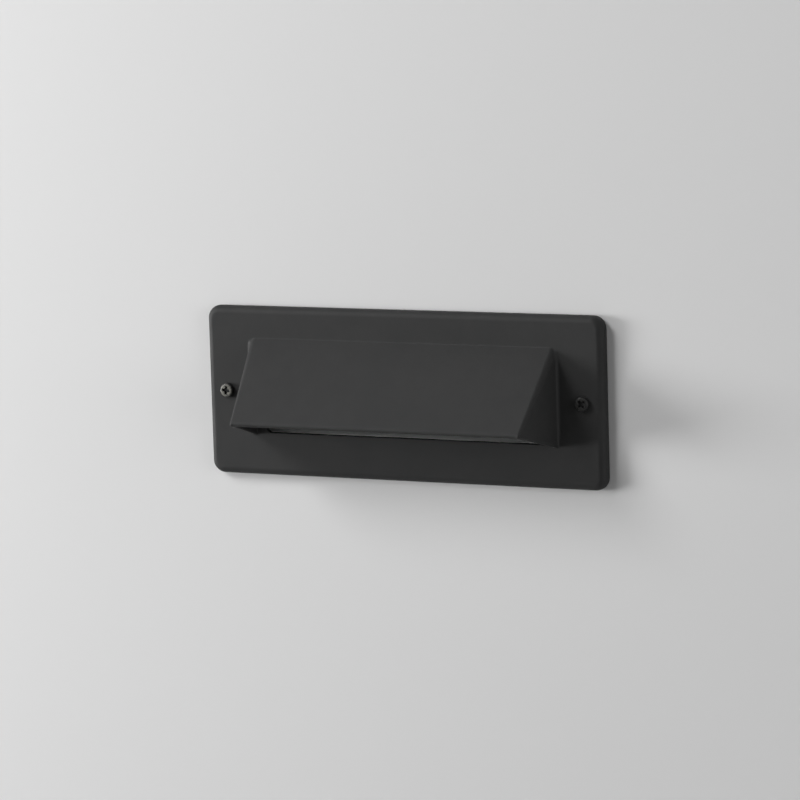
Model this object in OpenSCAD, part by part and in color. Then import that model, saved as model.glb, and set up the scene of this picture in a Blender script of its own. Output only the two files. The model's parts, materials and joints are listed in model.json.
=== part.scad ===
// Recessed step and brick light with one cast hood, for a pocket in a wall or a riser.
// The hooded faceplate is screwed on a moulded back box that holds two wedge-base lamps.
// X runs to the right along the wall, Y into the wall and Z up. The origin is on the
// wall face, behind the middle of the faceplate, so everything with y > 0 is in the wall.

/* [Faceplate] */
// Width of the faceplate
plate_w = 235; // [233:1:280]
// Height of the faceplate
plate_h = 92; // [90:1:120]
// Thickness from the wall to the face
plate_t = 6; // [6:0.5:8]
// Corner radius, seen from the front
plate_corner_r = 7; // [6:0.5:10]
// Radius of the shoulder that runs round the face
shoulder_r = 4; // [2:0.5:4]
// Thickness left between the face and the pocket behind it
face_wall = 3; // [2.5:0.5:3.5]
// Width of the rim that touches the wall
rim_w = 5; // [4.5:0.5:6]

/* [Hood] */
// Distance from the hood's side to the faceplate's side
hood_margin = 26.5; // [26.5:0.5:40]
// Height of the hood's top edge above the middle of the faceplate
hood_top = 29; // [28:0.2:32]
// Depth of the hood's lower corners below the middle of the faceplate
hood_drop = 23.6; // [21:0.2:25]
// How far the hood stands out from the face
hood_reach = 36; // [28:1:45]
// How much higher the hood's front edge is than its lower corners
nose_rise = 9.2; // [6:0.2:14]
// Radius of the hood's front edge
nose_r = 1.5; // [1.4:0.1:3]
// Draft of the hood's cheeks, in degrees
cheek_draft = 9; // [4:0.5:12]
// Wall of the hood casting
hood_wall = 2.5; // [2.25:0.25:4]
// Radius of the crease between the hood's face and its cheeks, at the faceplate
crease_r = 4; // [3:0.25:7]
// Radius where the hood's face runs into the faceplate
top_blend_r = 1.5; // [1:0.25:4]
// Radius where the hood's cheeks run into the faceplate
cheek_blend_r = 1.5; // [1:0.25:3]

/* [Aperture and lens] */
// Ledge between the inside of a cheek and the aperture
aperture_ledge = 6; // [6:0.5:10]
// Height of the aperture's lower edge above the hood's lower corners
aperture_rise = 1.2; // [1:0.2:4]
// Overlap of the lens behind the faceplate, all round
lens_overlap = 4; // [3:0.5:4.5]
// Thickness of the glass lens
lens_t = 3; // [3:0.5:4]
// Thickness of the seals behind the faceplate
seal_t = 1; // [0.8:0.1:1.2]
// Thickness of a lens clip
clip_t = 0.8; // [0.6:0.1:1.2]

/* [Face screws] */
// Distance from a face screw to the faceplate's side
screw_inset = 12; // [12:0.5:13]
// Diameter of a face screw's shank
screw_d = 4.1; // [3.5:0.1:4.5]
// Length of a face screw's shank
screw_len = 16; // [14:1:18]
// Diameter of a face screw's head
head_d = 7.8; // [7:0.1:8]
// Height of a face screw's head
head_h = 2.4; // [2:0.1:3]

/* [Back box] */
// Depth of the back box in the wall
box_d = 76; // [74:1:90]
// Distance from the faceplate's top and bottom to the back box
box_margin = 10; // [8:0.5:10]
// Wall of the back box
box_wall = 3; // [2.5:0.25:3.5]
// Corner radius of the back box
box_corner_r = 6; // [5:0.5:8]
// Outer diameter of a conduit hub
hub_d = 27; // [26:0.5:30]
// Bore of a conduit hub
hub_bore_d = 19.8; // [19:0.2:21]
// How far a conduit hub stands out from the back box
hub_len = 11; // [9:0.5:14]
// Depth of the side hubs behind the wall face
hub_y = 48; // [46:1:50]
// Diameter of the drain hole
drain_d = 5; // [4:0.5:7]

/* [Lamps and sockets] */
// Diameter of a lamp's glass
bulb_d = 25.4; // [24:0.2:26]
// Length of a lamp's glass, without its wedge
bulb_len = 41; // [38:0.5:42]
// Distance from a socket's bracket to the end wall of the back box
bracket_end_gap = 20.2; // [19:0.2:26]
// Width of a lamp's wedge
wedge_w = 16; // [14:0.5:17]
// Thickness of a lamp's wedge
wedge_t = 3; // [2.6:0.1:3.2]
// Length of a lamp's wedge
wedge_len = 9; // [8:0.5:9.5]
// Distance from a lamp's glass to the reflector behind it
bulb_to_reflector = 7; // [6:0.5:8]
// Length of a socket in front of its bracket
socket_nose = 9; // [8.5:0.5:10]
// Length of a socket behind its bracket
socket_tail = 8; // [7:0.5:8]

/* [Reflector and leads] */
// Thickness of the reflector and bracket sheet
sheet_t = 1; // [0.8:0.1:1.2]
// Room for the leads behind the reflector
wire_room = 12; // [12:0.5:14]
// Gap between the reflector's mouth and the back box, above and below
mouth_gap = 2; // [1.5:0.5:5]
// Height of the reflector's flat back
back_h = 34; // [32:1:38]
// Gap between the reflector's ends and the back box
reflector_end_gap = 8; // [8:0.5:12]
// Diameter of a lead over its insulation
lead_d = 2.4; // [2:0.1:2.4]

/* [Hidden] */
$fn = 48;

// Smallest gap between pieces that come apart
fit_gap = 0.5;
// Radial gap round what only has to pass through a hole
pass_gap = 0.3;
// Radial gap of a screw in its thread or a washer on its screw
thread_gap = 0.05;
// Gap that the cement fills between pieces of the back box
cement_gap = 0.05;

// Depths, from the faceplate's face back into the wall
face_y = -plate_t;
pocket_y = face_y + face_wall;
flange_y = pocket_y + seal_t;
box_back_y = box_d;
box_floor_y = box_back_y - box_wall;
lens_front_y = pocket_y + seal_t;
lens_back_y = lens_front_y + lens_t;

// The pocket behind the face and the flange that sits in it
pocket_w = plate_w - 2 * rim_w;
pocket_h = plate_h - 2 * rim_w;
corner_fill = 3;
pocket_corner_r = plate_corner_r - rim_w + corner_fill;
flange_w = pocket_w - 2 * fit_gap;
flange_h = pocket_h - 2 * fit_gap;

// Back box, as wide as the insert bosses beside it leave room for
screw_x = plate_w / 2 - screw_inset;
insert_wall = 1.15;
insert_r = screw_d / 2 + insert_wall;
insert_boss_wall = 2.3;
insert_boss_r = insert_r + insert_boss_wall;
insert_run_out = 4;
insert_len = screw_len - plate_t + insert_run_out;
boss_floor = 3;
box_w = 2 * (screw_x - insert_boss_r);
box_h = plate_h - 2 * box_margin;
inner_w = box_w - 2 * box_wall;
inner_h = box_h - 2 * box_wall;
rib_t = 3;
rib_reach = 14;
hub_hole_r = hub_d / 2 + cement_gap;

// Hood, measured by its distance out from the face and its height
hood_w = plate_w - 2 * hood_margin;
nose_out = hood_reach - nose_r;
nose_z = nose_rise - hood_drop + nose_r;
face_run = norm([nose_out, nose_z - hood_top]);
under_run = norm([nose_out, nose_z + hood_drop]);
face_angle = atan2(nose_z - hood_top, nose_out) + asin(nose_r / face_run);
under_angle = atan2(nose_z + hood_drop, nose_out) - asin(nose_r / under_run);
face_tangent = nose_out - nose_r * sin(face_angle);
under_tangent = nose_out + nose_r * sin(under_angle);
lower_corner_r = 1;
crease_nose_r = 1.5;
cavity_top = hood_top - hood_wall / cos(face_angle);

// Aperture and what closes it
aperture_w = hood_w - 2 * hood_wall - 2 * aperture_ledge;
aperture_bottom = aperture_rise - hood_drop;
aperture_drop = 2;
aperture_top = cavity_top - aperture_drop;
aperture_h = aperture_top - aperture_bottom;
aperture_z = (aperture_top + aperture_bottom) / 2;
aperture_corner_r = 3;
lens_w = aperture_w + 2 * lens_overlap;
lens_h = aperture_h + 2 * lens_overlap;
clip_boss_r = 2.8;
clip_pilot_r = 1.25;
clip_boss_gap = 1.2;
clip_x = lens_w / 2 + clip_boss_r + clip_boss_gap;
clip_z = lens_h / 4;
clip_w = 9;
clip_grip = 4;
clip_reach = clip_x - lens_w / 2 + clip_grip;
clip_hump = 1;
clip_head_r = 2.4;
clip_head_h = 1.6;

// Lamps, sockets and brackets
bulb_r = bulb_d / 2;
reflector_back_y = box_floor_y - wire_room;
reflector_y = reflector_back_y - sheet_t;
lamp_y = reflector_y - bulb_to_reflector - bulb_r;
bracket_x = inner_w / 2 - bracket_end_gap;
socket_x = bracket_x - socket_nose;
lamp_base_x = socket_x - pass_gap;
socket_end_wall = 3.5;
socket_side_wall = 4;
socket_h = wedge_w + 2 * socket_end_wall;
socket_depth = wedge_t + 2 * socket_side_wall;
socket_step = 0.5;
socket_rim = 2;
socket_rim_t = 1.5;
contact_room = 0.8;
snap_len = 4;
snap_w = 6;
snap_catch = 1.2;
bracket_foot = 26;
bracket_margin = 3;
bracket_h = socket_h + 2 * bracket_margin;
bracket_bend_r = 2;
post_x = bracket_x - bracket_foot / 2;
post_r = 4;
reflector_w = inner_w - 2 * reflector_end_gap;
mouth_back = 9;
mouth_y = lens_back_y + mouth_back;
mouth_h = inner_h - 2 * mouth_gap;
reflector_screw_len = 9;
reflector_head_r = 2.6;
reflector_head_h = 1.8;

// Wire connectors behind the reflector, and the points that the leads pass through
wire_y = (reflector_back_y + box_floor_y) / 2;
connector_r = 4.6;
connector_len = 22;
connector_mouth_x = 9;
connector_z = 9;
lead_wall_gap = 3;
lead_x = inner_w / 2 - lead_wall_gap;
lead_sides = 8;
lead_spread = 1.5;
lead_exit = 2.4;
lead_rise = 3;
lead_bend = 8;
lead_run = 20;
lead_near = 5;
lead_far = 14;
lead_step = 1;
lead_low_z = 5;
lead_mid_z = 13;
lead_high_z = 17;
socket_end_x = bracket_x + socket_tail;
right_route = [
    [socket_end_x, lamp_y, lead_low_z],
    [socket_end_x + lead_exit, lamp_y, lead_low_z],
    [lead_x, lamp_y + lead_rise, lead_low_z + lead_rise],
    [lead_x, wire_y - lead_bend, lead_mid_z],
    [lead_x - lead_bend / 2, wire_y, lead_high_z],
    [lead_x - lead_run, wire_y + lead_step, lead_high_z],
    [connector_mouth_x + lead_run, wire_y + lead_spread, lead_mid_z],
    [connector_mouth_x + lead_bend, wire_y + lead_spread, connector_z],
    [connector_mouth_x, wire_y + lead_spread, connector_z]
];
left_route = [
    [-socket_end_x, lamp_y, lead_low_z],
    [-socket_end_x - lead_exit, lamp_y, lead_low_z],
    [-lead_x, lamp_y + lead_rise, lead_low_z + lead_rise],
    [-lead_x, wire_y - lead_bend, lead_mid_z],
    [lead_bend / 2 - lead_x, wire_y, lead_high_z],
    [lead_run - lead_x, wire_y - lead_step, lead_high_z + lead_step],
    [connector_mouth_x + lead_near, wire_y - lead_spread, lead_high_z + lead_step],
    [connector_mouth_x + lead_far, wire_y - lead_spread, lead_high_z],
    [connector_mouth_x + lead_far, wire_y - lead_spread, connector_z + lead_step],
    [connector_mouth_x + lead_near, wire_y - lead_spread, connector_z],
    [connector_mouth_x, wire_y - lead_spread, connector_z]
];

// Extrudes an outline drawn in X and Z from the depth y0 back to the depth y1
module along_y(y0, y1) {
    translate([0, y1, 0])
        rotate([90, 0, 0])
            linear_extrude(y1 - y0)
                children();
}

// Extrudes an outline drawn in Y and Z along X, to both sides of the middle
module along_x(width) {
    rotate([90, 0, 90])
        linear_extrude(width, center = true)
            children();
}

// Turns a shape whose axis is +Z so that its axis is +Y, from the depth y on
module facing_wall(x, y, z) {
    translate([x, y, z])
        rotate([-90, 0, 0])
            children();
}

// Turns a shape whose axis is +Z so that its axis is +X, from x on
module facing_right(x, y, z) {
    translate([x, y, z])
        rotate([0, 90, 0])
            children();
}

// Puts a right-hand piece on the right, or its mirror image on the left
module on_side(side) {
    mirror([side < 0 ? 1 : 0, 0, 0])
        children();
}

module rounded_rect(w, h, r) {
    square([w - 2 * r, h], center = true);
    square([w, h - 2 * r], center = true);
    for (x = [-1, 1], z = [-1, 1])
        translate([x * (w / 2 - r), z * (h / 2 - r)])
            circle(r);
}

module quarter_disc(r) {
    intersection() {
        circle(r);
        square(r);
    }
}

// A slab on the plane z = 0 whose upper edge is rounded all round
module shouldered_slab(w, h, t, corner_r, round_r) {
    run_w = w / 2 - corner_r;
    run_h = h / 2 - corner_r;
    linear_extrude(t - round_r)
        rounded_rect(w, h, corner_r);
    translate([0, 0, t - round_r]) {
        linear_extrude(round_r) {
            square([2 * run_w, h - 2 * round_r], center = true);
            square([w - 2 * round_r, 2 * run_h], center = true);
        }
        for (side = [-1, 1]) {
            on_side(side)
                translate([w / 2 - round_r, run_h, 0])
                    rotate([90, 0, 0])
                        linear_extrude(2 * run_h)
                            quarter_disc(round_r);
            mirror([0, side < 0 ? 1 : 0, 0])
                translate([-run_w, h / 2 - round_r, 0])
                    rotate([90, 0, 90])
                        linear_extrude(2 * run_w)
                            quarter_disc(round_r);
        }
        for (x = [-1, 1], y = [-1, 1])
            mirror([x < 0 ? 1 : 0, 0, 0])
                mirror([0, y < 0 ? 1 : 0, 0])
                    translate([run_w, run_h, 0])
                        rotate_extrude(angle = 90) {
                            square([corner_r - round_r, round_r]);
                            translate([corner_r - round_r, 0])
                                quarter_disc(round_r);
                        }
    }
}

// Cross recess for a driver, cut down from the plane z = 0
module cross_recess(size, depth) {
    for (angle = [0, 90])
        rotate(angle)
            cube([size, size / 4.5, 2 * depth], center = true);
}

// Screw with a pan head above z = 0 and its shank below
module pan_screw(shank_r, shank_len, head_r, head_height) {
    edge_r = head_height / 2;
    difference() {
        union() {
            translate([0, 0, -shank_len])
                cylinder(h = shank_len + head_height / 2, r = shank_r);
            rotate_extrude() {
                square([head_r, head_height - edge_r]);
                square([head_r - edge_r, head_height]);
                translate([head_r - edge_r, head_height - edge_r])
                    quarter_disc(edge_r);
            }
        }
        translate([0, 0, head_height])
            cross_recess(head_r * 1.15, head_height * 0.6);
    }
}

// Hood

// How far a blend of radius r still stands out at the distance t from the face
function flare(t, r) = t < r ? r - sqrt(r * r - (r - t) * (r - t)) : 0;

// Height of the hood's face and of its lower side at the distance t from the faceplate
function hood_face_z(t) =
    t < face_tangent ? hood_top + t * tan(face_angle)
    : nose_z + sqrt(nose_r * nose_r - (t - nose_out) * (t - nose_out));
function hood_under_z(t) =
    t < under_tangent ? -hood_drop + t * tan(under_angle)
    : nose_z - sqrt(nose_r * nose_r - (t - nose_out) * (t - nose_out));

// Distances from the face at which the hood's outline is drawn
blend_steps = 6;
nose_steps = 6;
corner_steps = 7;
nose_last = 78;
hood_stations = concat(
    [for (i = [0 : blend_steps]) top_blend_r * (1 - cos(90 * i / blend_steps))],
    [for (i = [1 : 4]) top_blend_r + (face_tangent - top_blend_r) * i / 5],
    [for (i = [0 : nose_steps])
        nose_out + nose_r * sin(-face_angle + (nose_last + face_angle) * i / nose_steps)]
);

// Outline of the hood at the distance t: two wide corners above and two narrow ones below
function hood_outline(t) =
    let (
        half_w = hood_w / 2 - t * tan(cheek_draft) + flare(t, cheek_blend_r),
        top = hood_face_z(t) + flare(t, top_blend_r),
        bottom = hood_under_z(t),
        room = (top - bottom) / 2 * 0.98,
        upper_r = min(crease_r + (crease_nose_r - crease_r) * t / hood_reach, room),
        lower_r = min(lower_corner_r, room)
    )
    [for (corner = [0 : 3], i = [0 : corner_steps])
        let (
            r = corner < 2 ? upper_r : lower_r,
            angle = 90 * corner + 90 * i / corner_steps,
            x_side = corner == 0 || corner == 3 ? 1 : -1,
            z_mid = corner < 2 ? top - r : bottom + r
        )
        [x_side * (half_w - r) + r * cos(angle), face_y - t, z_mid + r * sin(angle)]
    ];

// Joins outlines of equal length, the first one nearest the wall, into a closed solid
module loft(outlines) {
    count = len(outlines[0]);
    last = len(outlines) - 1;
    polyhedron(
        points = [for (outline = outlines, p = outline) p],
        faces = concat(
            [[for (i = [0 : count - 1]) i]],
            [for (k = [0 : last - 1], i = [0 : count - 1], half = [0, 1])
                let (
                    a = k * count + i,
                    b = k * count + (i + 1) % count
                )
                half == 0 ? [a, b + count, b] : [a, a + count, b + count]],
            [[for (i = [count - 1 : -1 : 0]) last * count + i]]
        )
    );
}

module hood_blank() {
    base = hood_outline(0);
    foot = [for (p = base) [p[0], p[1] + face_wall / 2, p[2]]];
    loft(concat([foot], [for (t = hood_stations) hood_outline(t)]));
}

// The room inside the hood, open below
module hood_cavity() {
    floor_z = -hood_drop - 2;
    reach = (floor_z - cavity_top) / tan(face_angle);
    base_half_w = hood_w / 2 - hood_wall;
    intersection() {
        along_x(hood_w)
            polygon([[face_y, cavity_top], [face_y - reach, floor_z], [face_y, floor_z]]);
        translate([0, 0, floor_z])
            linear_extrude(cavity_top - floor_z)
                polygon([
                    [-base_half_w, face_y],
                    [-base_half_w + reach * tan(cheek_draft), face_y - reach],
                    [base_half_w - reach * tan(cheek_draft), face_y - reach],
                    [base_half_w, face_y]
                ]);
    }
}

module clip_positions() {
    for (x = [-1, 1], z = [-1, 1])
        translate([x * clip_x, 0, aperture_z + z * clip_z])
            mirror([x < 0 ? 1 : 0, 0, 0])
                children();
}

module faceplate() {
    color([0.23, 0.23, 0.235])
        difference() {
            union() {
                difference() {
                    union() {
                        rotate([90, 0, 0])
                            shouldered_slab(plate_w, plate_h, plate_t, plate_corner_r, shoulder_r);
                        hood_blank();
                    }
                    hood_cavity();
                    translate([0, 0, aperture_z])
                        along_y(face_y - 1, pocket_y + 1)
                            rounded_rect(aperture_w, aperture_h, aperture_corner_r);
                    along_y(pocket_y, 1)
                        rounded_rect(pocket_w, pocket_h, pocket_corner_r);
                }
                clip_positions()
                    facing_wall(0, pocket_y - 1, 0)
                        cylinder(h = lens_back_y - pocket_y + 1, r = clip_boss_r);
            }
            for (x = [-1, 1])
                facing_wall(x * screw_x, face_y - 1, 0)
                    cylinder(h = face_wall + 2, r = screw_d / 2 + pass_gap);
            clip_positions()
                facing_wall(0, pocket_y - 0.5, 0)
                    cylinder(h = lens_back_y - pocket_y + 1, r = clip_pilot_r);
        }
}

// Foam seal between the faceplate's pocket and the back box
module faceplate_gasket() {
    color([0.1, 0.1, 0.1])
        difference() {
            along_y(pocket_y, flange_y)
                rounded_rect(flange_w, flange_h, pocket_corner_r);
            along_y(pocket_y - 1, flange_y + 1)
                rounded_rect(inner_w, inner_h, box_corner_r - box_wall);
            for (x = [-1, 1])
                facing_wall(x * screw_x, pocket_y - 1, 0)
                    cylinder(h = seal_t + 2, r = head_d / 2 + fit_gap);
        }
}

module lens_gasket() {
    color([0.75, 0.75, 0.72])
        translate([0, 0, aperture_z])
            difference() {
                along_y(pocket_y, lens_front_y)
                    rounded_rect(lens_w, lens_h, aperture_corner_r);
                along_y(pocket_y - 1, lens_front_y + 1)
                    rounded_rect(aperture_w + 1, aperture_h + 1, aperture_corner_r);
            }
}

module lens() {
    color([0.85, 0.9, 0.9, 0.6])
        translate([0, 0, aperture_z])
            along_y(lens_front_y, lens_back_y)
                rounded_rect(lens_w, lens_h, aperture_corner_r);
}

// Spring clips: a tab over each boss with a hump, and a toe on the glass
module lens_clips() {
    tab_end = 2 * clip_boss_r;
    toe_end = clip_boss_r + clip_reach;
    hump_y = lens_back_y + clip_hump;
    bend = clip_t * tan(22.5);
    color([0.7, 0.72, 0.74])
        clip_positions()
            difference() {
                translate([clip_boss_r, 0, 0])
                    mirror([1, 0, 0])
                        linear_extrude(clip_w, center = true)
                            polygon([
                                [0, lens_back_y],
                                [tab_end, lens_back_y],
                                [tab_end + clip_hump, hump_y],
                                [toe_end - 2 * clip_hump, hump_y],
                                [toe_end - clip_hump, lens_back_y],
                                [toe_end, lens_back_y],
                                [toe_end, lens_back_y + clip_t],
                                [toe_end - clip_hump + bend, lens_back_y + clip_t],
                                [toe_end - 2 * clip_hump + bend, hump_y + clip_t],
                                [tab_end + clip_hump - bend, hump_y + clip_t],
                                [tab_end - bend, lens_back_y + clip_t],
                                [0, lens_back_y + clip_t]
                            ]);
                facing_wall(0, lens_back_y - 1, 0)
                    cylinder(h = clip_t + 3, r = clip_pilot_r + pass_gap);
            }
}

module lens_clip_screws() {
    color([0.75, 0.76, 0.78])
        clip_positions()
            facing_wall(0, lens_back_y + clip_t, 0)
                pan_screw(clip_pilot_r - thread_gap, clip_t + lens_t + seal_t,
                    clip_head_r, clip_head_h);
}

module face_screw(side) {
    color([0.5, 0.5, 0.5])
        translate([side * screw_x, face_y, 0])
            rotate([90, 0, 0])
                rotate(side < 0 ? -7 : 40)
                    pan_screw(screw_d / 2, screw_len, head_d / 2, head_h);
}

// Nylon washer that keeps the loosened screw in the faceplate
module captive_washer(side) {
    color([0.9, 0.9, 0.86])
        facing_wall(side * screw_x, pocket_y + 0.1, 0)
            difference() {
                cylinder(h = seal_t - 0.2, r = head_d / 2);
                translate([0, 0, -1])
                    cylinder(h = seal_t + 2, r = screw_d / 2 + thread_gap);
            }
}

// Back box

// The places of the hubs, with their axes outward from the box
module rear_hub_place() {
    facing_wall(0, box_back_y, 0)
        children();
}

module side_hub_place(side) {
    on_side(side)
        facing_right(box_w / 2, hub_y, 0)
            children();
}

module hub_hole() {
    translate([0, 0, -box_wall - 1])
        cylinder(h = box_wall + 2, r = hub_hole_r);
}

// Boss for an insert behind the flange, with ribs up, down and to the side of the box
module insert_boss() {
    boss_len = insert_len + boss_floor;
    facing_wall(screw_x, flange_y, 0)
        cylinder(h = boss_len, r = insert_boss_r);
    translate([box_w / 2 - 1, flange_y, -rib_t / 2])
        cube([screw_x - box_w / 2, boss_len, rib_t]);
    translate([screw_x - rib_t / 2, flange_y, -rib_reach])
        cube([rib_t, boss_len / 2, 2 * rib_reach]);
}

// Moulded box, open at the front, with its flange, a hole for each hub and a drain below
module back_box() {
    color([0.16, 0.16, 0.17])
        difference() {
            union() {
                along_y(flange_y, 0)
                    rounded_rect(flange_w, flange_h, pocket_corner_r);
                along_y(flange_y, box_back_y)
                    rounded_rect(box_w, box_h, box_corner_r);
                for (side = [-1, 1])
                    on_side(side)
                        insert_boss();
            }
            along_y(flange_y - 1, box_floor_y)
                rounded_rect(inner_w, inner_h, box_corner_r - box_wall);
            for (x = [-1, 1])
                facing_wall(x * screw_x, flange_y - 1, 0)
                    cylinder(h = insert_len + 1, r = insert_r + thread_gap);
            rear_hub_place()
                hub_hole();
            for (side = [-1, 1])
                side_hub_place(side)
                    hub_hole();
            translate([0, box_d / 4, -box_h / 2])
                cylinder(h = 3 * box_wall, r = drain_d / 2, center = true);
        }
}

// Brass inserts that take the face screws
module screw_inserts() {
    color([0.75, 0.6, 0.3])
        for (x = [-1, 1])
            facing_wall(x * screw_x, flange_y, 0)
                difference() {
                    cylinder(h = insert_len, r = insert_r);
                    translate([0, 0, -1])
                        cylinder(h = insert_len + 2, r = screw_d / 2 + thread_gap);
                }
}

// Conduit hub, a tube cemented through the wall of the box
module hub() {
    color([0.16, 0.16, 0.17])
        difference() {
            translate([0, 0, -box_wall])
                cylinder(h = hub_len + box_wall, r = hub_d / 2);
            translate([0, 0, -box_wall - 1])
                cylinder(h = hub_len + box_wall + 2, r = hub_bore_d / 2);
        }
}

module rear_hub() {
    rear_hub_place()
        hub();
}

module side_hub(side) {
    side_hub_place(side)
        hub();
}

// Close-up plug in a side hub, with a square drive socket in its head
module hub_plug(side) {
    head_t = 2.5;
    drive = 9.5;
    drive_depth = 6;
    color([0.18, 0.18, 0.19])
        side_hub_place(side)
            translate([0, 0, hub_len])
                difference() {
                    union() {
                        cylinder(h = head_t, r = hub_d / 2 - 1);
                        translate([0, 0, -hub_len])
                            cylinder(h = hub_len + 1, r = hub_bore_d / 2 - thread_gap);
                    }
                    translate([0, 0, head_t])
                        cube([drive, drive, 2 * drive_depth], center = true);
                }
}

// Posts on the floor of the box that carry the reflector and the brackets
module reflector_posts() {
    color([0.7, 0.71, 0.73])
        for (x = [-1, 1])
            facing_wall(x * post_x, reflector_back_y, 0)
                difference() {
                    cylinder(h = wire_room, r = post_r);
                    translate([0, 0, -1])
                        cylinder(h = wire_room - 2, r = clip_pilot_r + thread_gap);
                }
}

// Reflector, a white trough of folded sheet with its mouth to the lens
module reflector() {
    slope = (mouth_h - back_h) / 2 / (reflector_back_y - mouth_y);
    lip = sheet_t * sqrt(1 + slope * slope);
    inner_mouth = mouth_h / 2 + slope - lip;
    inner_back = back_h / 2 + slope * sheet_t - lip;
    color([0.92, 0.92, 0.9])
        difference() {
            along_x(reflector_w)
                difference() {
                    polygon([
                        [mouth_y, mouth_h / 2], [reflector_back_y, back_h / 2],
                        [reflector_back_y, -back_h / 2], [mouth_y, -mouth_h / 2]
                    ]);
                    polygon([
                        [mouth_y - 1, inner_mouth], [reflector_y, inner_back],
                        [reflector_y, -inner_back], [mouth_y - 1, -inner_mouth]
                    ]);
                }
            for (x = [-1, 1])
                facing_wall(x * post_x, reflector_y - 1, 0)
                    cylinder(h = sheet_t + 2, r = clip_pilot_r + pass_gap);
        }
}

// Bent bracket that carries a socket, with its foot under the reflector screw
module socket_bracket(side) {
    foot_y = reflector_y - sheet_t;
    upright_y = lamp_y - socket_depth / 2 - 4;
    bend = bracket_bend_r + sheet_t;
    color([0.8, 0.82, 0.84])
        on_side(side)
            difference() {
                linear_extrude(bracket_h, center = true)
                    union() {
                        translate([bracket_x - bracket_foot + sheet_t, foot_y])
                            square([bracket_foot - bend, sheet_t]);
                        translate([bracket_x, upright_y])
                            square([sheet_t, foot_y + sheet_t - bend - upright_y]);
                        translate([bracket_x + sheet_t - bend, foot_y + sheet_t - bend])
                            difference() {
                                quarter_disc(bend);
                                circle(bracket_bend_r);
                            }
                    }
                facing_right(bracket_x - 1, lamp_y, 0)
                    cube([socket_h - 2 * socket_step + 2 * pass_gap,
                        socket_depth - 2 * socket_step + 2 * pass_gap, 6 * sheet_t], center = true);
                facing_wall(post_x, foot_y - 1, 0)
                    cylinder(h = sheet_t + 2, r = clip_pilot_r + pass_gap);
            }
}

module reflector_screws() {
    color([0.75, 0.76, 0.78])
        for (x = [-1, 1])
            translate([x * post_x, reflector_y - sheet_t, 0])
                rotate([90, 0, 0])
                    pan_screw(clip_pilot_r, reflector_screw_len, reflector_head_r, reflector_head_h);
}

// Wedge socket: a nose and a rim in front of the bracket, a tail and two snaps behind it
module socket(side) {
    slot_h = wedge_w + 2 * pass_gap;
    slot_depth = wedge_t + 2 * (pass_gap + contact_room);
    tail_h = socket_h - 2 * socket_step;
    tail_depth = socket_depth - 2 * socket_step;
    color([0.9, 0.89, 0.84])
        on_side(side)
            translate([bracket_x, lamp_y, 0])
                difference() {
                    union() {
                        translate([-socket_nose, -socket_depth / 2, -socket_h / 2])
                            cube([socket_nose, socket_depth, socket_h]);
                        translate([-socket_rim_t / 2, 0, 0])
                            cube([socket_rim_t, socket_depth + 2 * socket_rim,
                                socket_h + 2 * socket_rim], center = true);
                        translate([-socket_rim_t, -tail_depth / 2, -tail_h / 2])
                            cube([socket_tail + socket_rim_t, tail_depth, tail_h]);
                        for (z = [0, 1])
                            mirror([0, 0, z])
                                translate([0, snap_w / 2, tail_h / 2])
                                    rotate([90, 0, 0])
                                        linear_extrude(snap_w)
                                            polygon([
                                                [sheet_t, -socket_step],
                                                [sheet_t + snap_len, -socket_step],
                                                [sheet_t + snap_len, 0],
                                                [sheet_t, snap_catch]
                                            ]);
                    }
                    translate([-socket_nose - 1, -slot_depth / 2, -slot_h / 2])
                        cube([wedge_len + pass_gap + 2, slot_depth, slot_h]);
                }
}

// Four leaf contacts, a pair on each side of the wedge
module socket_contacts(side) {
    leaf_t = 0.4;
    leaf_w = 3;
    inner = wedge_t / 2 + pass_gap;
    outer = inner + contact_room;
    depth = wedge_len + pass_gap + 1;
    color([0.8, 0.65, 0.4])
        on_side(side)
            for (y = [0, 1], z = [-1, 1])
                translate([socket_x, lamp_y, z * wedge_w / 4 - leaf_w / 2])
                    mirror([0, y, 0])
                        linear_extrude(leaf_w)
                            polygon([
                                [1, outer - leaf_t], [depth / 2, inner + 0.05],
                                [depth, outer - leaf_t], [depth, outer],
                                [depth / 2, inner + 0.05 + leaf_t], [1, outer]
                            ]);
}

// Lamp: a pear of frosted glass that ends in a flat pinch
module lamp(side) {
    ball_x = bulb_len - bulb_r;
    neck_r = wedge_w / 2;
    color([0.93, 0.93, 0.9])
        on_side(side)
            translate([lamp_base_x, lamp_y, 0])
                rotate([0, -90, 0]) {
                    rotate_extrude()
                        intersection() {
                            union() {
                                translate([0, ball_x])
                                    circle(bulb_r);
                                polygon([
                                    [0, 0], [neck_r - 1, 0], [neck_r, 1], [neck_r, 5],
                                    [bulb_r * cos(25), ball_x - bulb_r * sin(25)],
                                    [0, ball_x]
                                ]);
                            }
                            square([bulb_r, bulb_len]);
                        }
                    translate([-wedge_w / 2, -wedge_t / 2, -wedge_len])
                        cube([wedge_w, wedge_t, wedge_len + 1]);
                }
}

// Leads from the sockets to the connectors

function unit(v) = v / norm(v);

// Rounds a route once: each corner becomes two points, a quarter of the way along its runs
function rounded_route(route) = concat(
    [route[0]],
    [for (i = [1 : len(route) - 2])
        each [(route[i - 1] + 3 * route[i]) / 4, (3 * route[i] + route[i + 1]) / 4]],
    [route[len(route) - 1]]
);

function directions(route) =
    let (last = len(route) - 1)
    [for (i = [0 : last])
        unit(unit(route[min(i + 1, last)] - route[min(i, last - 1)])
            + unit(route[max(i, 1)] - route[max(i - 1, 0)]))];

// Carries the normal n along the route without twisting it
function carried(along, n, i = 0) =
    i == len(along) ? []
    : let (m = unit(n - (n * along[i]) * along[i])) concat([m], carried(along, m, i + 1));

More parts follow.
